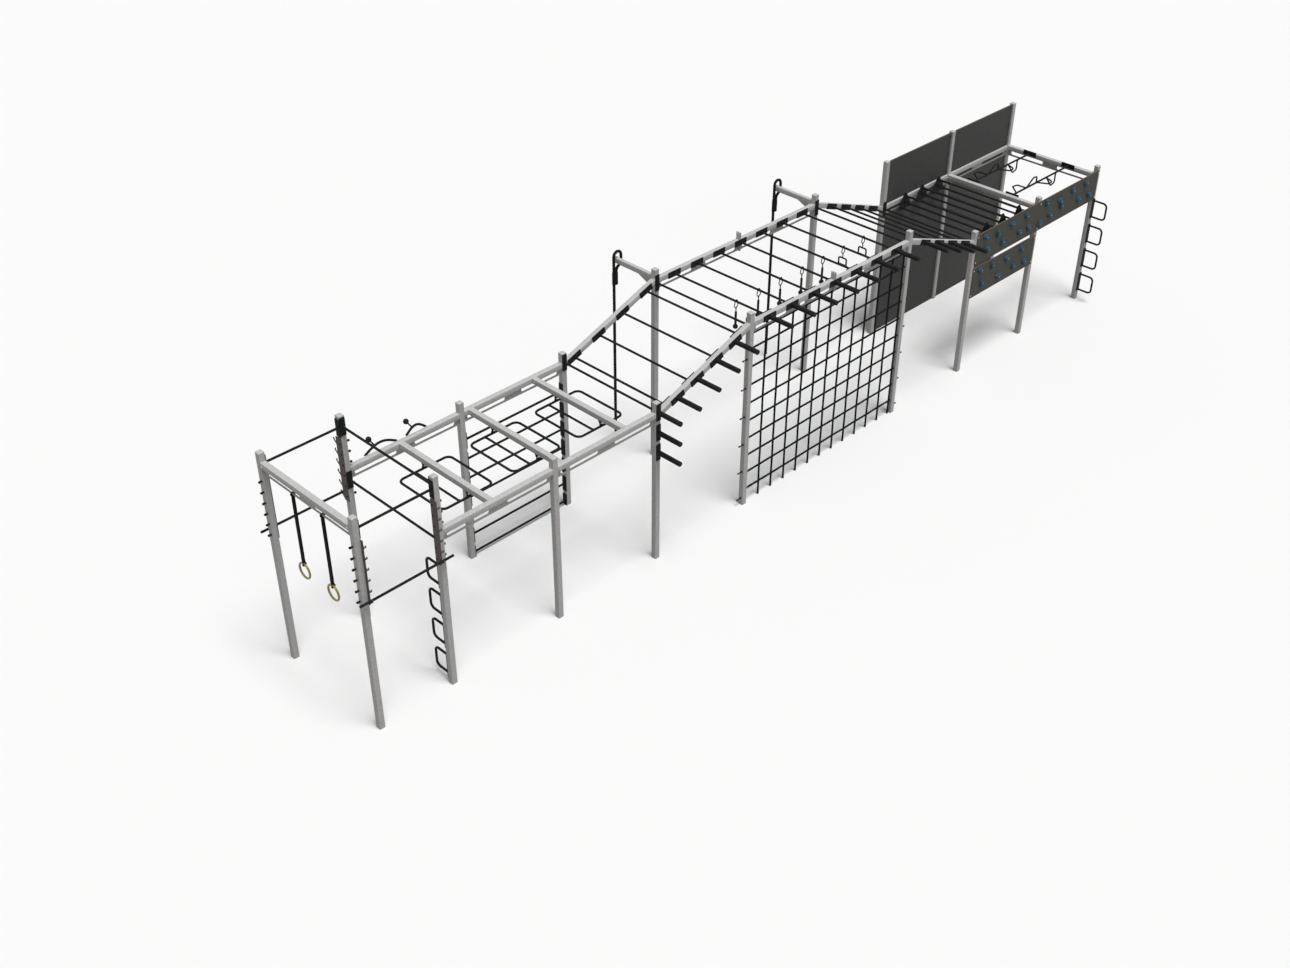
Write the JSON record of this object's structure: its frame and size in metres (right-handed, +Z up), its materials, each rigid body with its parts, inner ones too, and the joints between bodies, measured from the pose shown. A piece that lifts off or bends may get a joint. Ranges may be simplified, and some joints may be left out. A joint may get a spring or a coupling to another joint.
{
  "type": "ninja obstacle frame",
  "caption": "Outdoor obstacle course of square posts and slotted rails with salmon ladder, rings, tilting ladders, rungs, hanging grips, net, ropes, loop bars, boards and walls.",
  "frame": {"origin": "centre of the foot of the first front post, on the ground", "axes": "+X along the course, +Y from the front row of posts to the back row, +Z up"},
  "size_m": [15.597, 3.07, 3.1703],
  "materials": {
    "frame_paint": "satin powder coat",
    "black_steel": "satin powder coat",
    "ring_wood": "satin lacquer",
    "rope_fibre": "laid rope",
    "black_binding": "matt",
    "board_laminate": "matt",
    "wall_laminate": "matt"
  },
  "bodies": {
    "frame": {"post_f0": "frame_paint", "post_f1": "frame_paint", "post_f2": "frame_paint", "post_f3": "frame_paint", "post_f4": "frame_paint", "post_f5": "frame_paint", "post_f6": "frame_paint", "post_f7": "frame_paint", "post_f8": "frame_paint", "post_b0": "frame_paint", "post_b1": "frame_paint", "post_b2": "frame_paint", "post_b3": "frame_paint", "post_b4": "frame_paint", "post_b5": "frame_paint", "post_b6": "frame_paint", "post_b7": "frame_paint", "post_b8": "frame_paint", "end_beam": "frame_paint", "rail_f1": "frame_paint", "rail_f2": "frame_paint", "rail_b1": "frame_paint", "rail_b2": "frame_paint", "cross_beam_1": "frame_paint", "cross_beam_2": "frame_paint", "cross_beam_3": "frame_paint", "frame_climb": "frame_paint", "frame_descent": "frame_paint", "frame_high": "frame_paint", "frame_double": "frame_paint", "rail_f7": "frame_paint", "rail_b7": "frame_paint", "frame_loops": "frame_paint", "cargo_net": "rope_fibre", "climb_rope_1": "rope_fibre", "climb_rope_2": "rope_fibre", "rope_binding_1": "black_binding", "rope_binding_2": "black_binding", "board_upper": "board_laminate", "board_lower": "board_laminate", "wall_upper_1": "wall_laminate", "wall_lower_1": "wall_laminate", "wall_upper_2": "wall_laminate", "wall_lower_2": "wall_laminate"},
    "ladder_1": {"ladder_1": "black_steel"},
    "ladder_2": {"ladder_2": "black_steel"},
    "ladder_3": {"ladder_3": "black_steel"},
    "ring_front": {"ring_front": "ring_wood"},
    "ring_back": {"ring_back": "ring_wood"},
    "grip_1": {"grip_1": "black_steel"},
    "grip_2": {"grip_2": "black_steel"},
    "grip_3": {"grip_3": "black_steel"},
    "grip_4": {"grip_4": "black_steel"},
    "grip_5": {"grip_5": "black_steel"},
    "grip_6": {"grip_6": "black_steel"},
    "grip_7": {"grip_7": "black_steel"},
    "salmon_bar_front": {"salmon_bar_front": "black_steel"},
    "salmon_bar_back": {"salmon_bar_back": "black_steel"}
  },
  "joints": [
    {"name": "ladder_1_tilt", "type": "hinge", "parent": "frame", "child": "ladder_1", "pos_m": [1.94, 0.9, 2.25], "axis": [0, 1, 0], "range_deg": [-35, 35]},
    {"name": "ladder_2_tilt", "type": "hinge", "parent": "frame", "child": "ladder_2", "pos_m": [3.07, 0.9, 2.25], "axis": [0, 1, 0], "range_deg": [-35, 35]},
    {"name": "ladder_3_tilt", "type": "hinge", "parent": "frame", "child": "ladder_3", "pos_m": [4.17, 0.9, 2.25], "axis": [0, 1, 0], "range_deg": [-35, 35]},
    {"name": "ring_front_swing", "type": "hinge", "parent": "frame", "child": "ring_front", "pos_m": [0, 0.625, 2.865], "axis": [0, 1, 0], "range_deg": [-45, 45]},
    {"name": "ring_back_swing", "type": "hinge", "parent": "frame", "child": "ring_back", "pos_m": [0, 1.205, 2.865], "axis": [0, 1, 0], "range_deg": [-45, 45]},
    {"name": "grip_1_swing", "type": "hinge", "parent": "frame", "child": "grip_1", "pos_m": [6.87, 0.57, 2.965], "axis": [0, 1, 0], "range_deg": [-30, 30]},
    {"name": "grip_2_swing", "type": "hinge", "parent": "frame", "child": "grip_2", "pos_m": [7.34, 0.57, 2.965], "axis": [0, 1, 0], "range_deg": [-30, 30]},
    {"name": "grip_3_swing", "type": "hinge", "parent": "frame", "child": "grip_3", "pos_m": [7.81, 0.57, 2.965], "axis": [0, 1, 0], "range_deg": [-30, 30]},
    {"name": "grip_4_swing", "type": "hinge", "parent": "frame", "child": "grip_4", "pos_m": [8.28, 0.57, 2.965], "axis": [0, 1, 0], "range_deg": [-30, 30]},
    {"name": "grip_5_swing", "type": "hinge", "parent": "frame", "child": "grip_5", "pos_m": [8.75, 0.57, 2.965], "axis": [0, 1, 0], "range_deg": [-30, 30]},
    {"name": "grip_6_swing", "type": "hinge", "parent": "frame", "child": "grip_6", "pos_m": [9.22, 0.57, 2.965], "axis": [0, 1, 0], "range_deg": [-30, 30]},
    {"name": "grip_7_swing", "type": "hinge", "parent": "frame", "child": "grip_7", "pos_m": [9.69, 0.57, 2.965], "axis": [0, 1, 0], "range_deg": [-30, 30]},
    {"name": "salmon_bar_front_lift", "type": "slide", "parent": "frame", "child": "salmon_bar_front", "axis": [0, 0, 1], "range_m": [0, 0.05]},
    {"name": "salmon_bar_back_lift", "type": "slide", "parent": "frame", "child": "salmon_bar_back", "axis": [0, 0, 1], "range_m": [0, 0.05]}
  ]
}
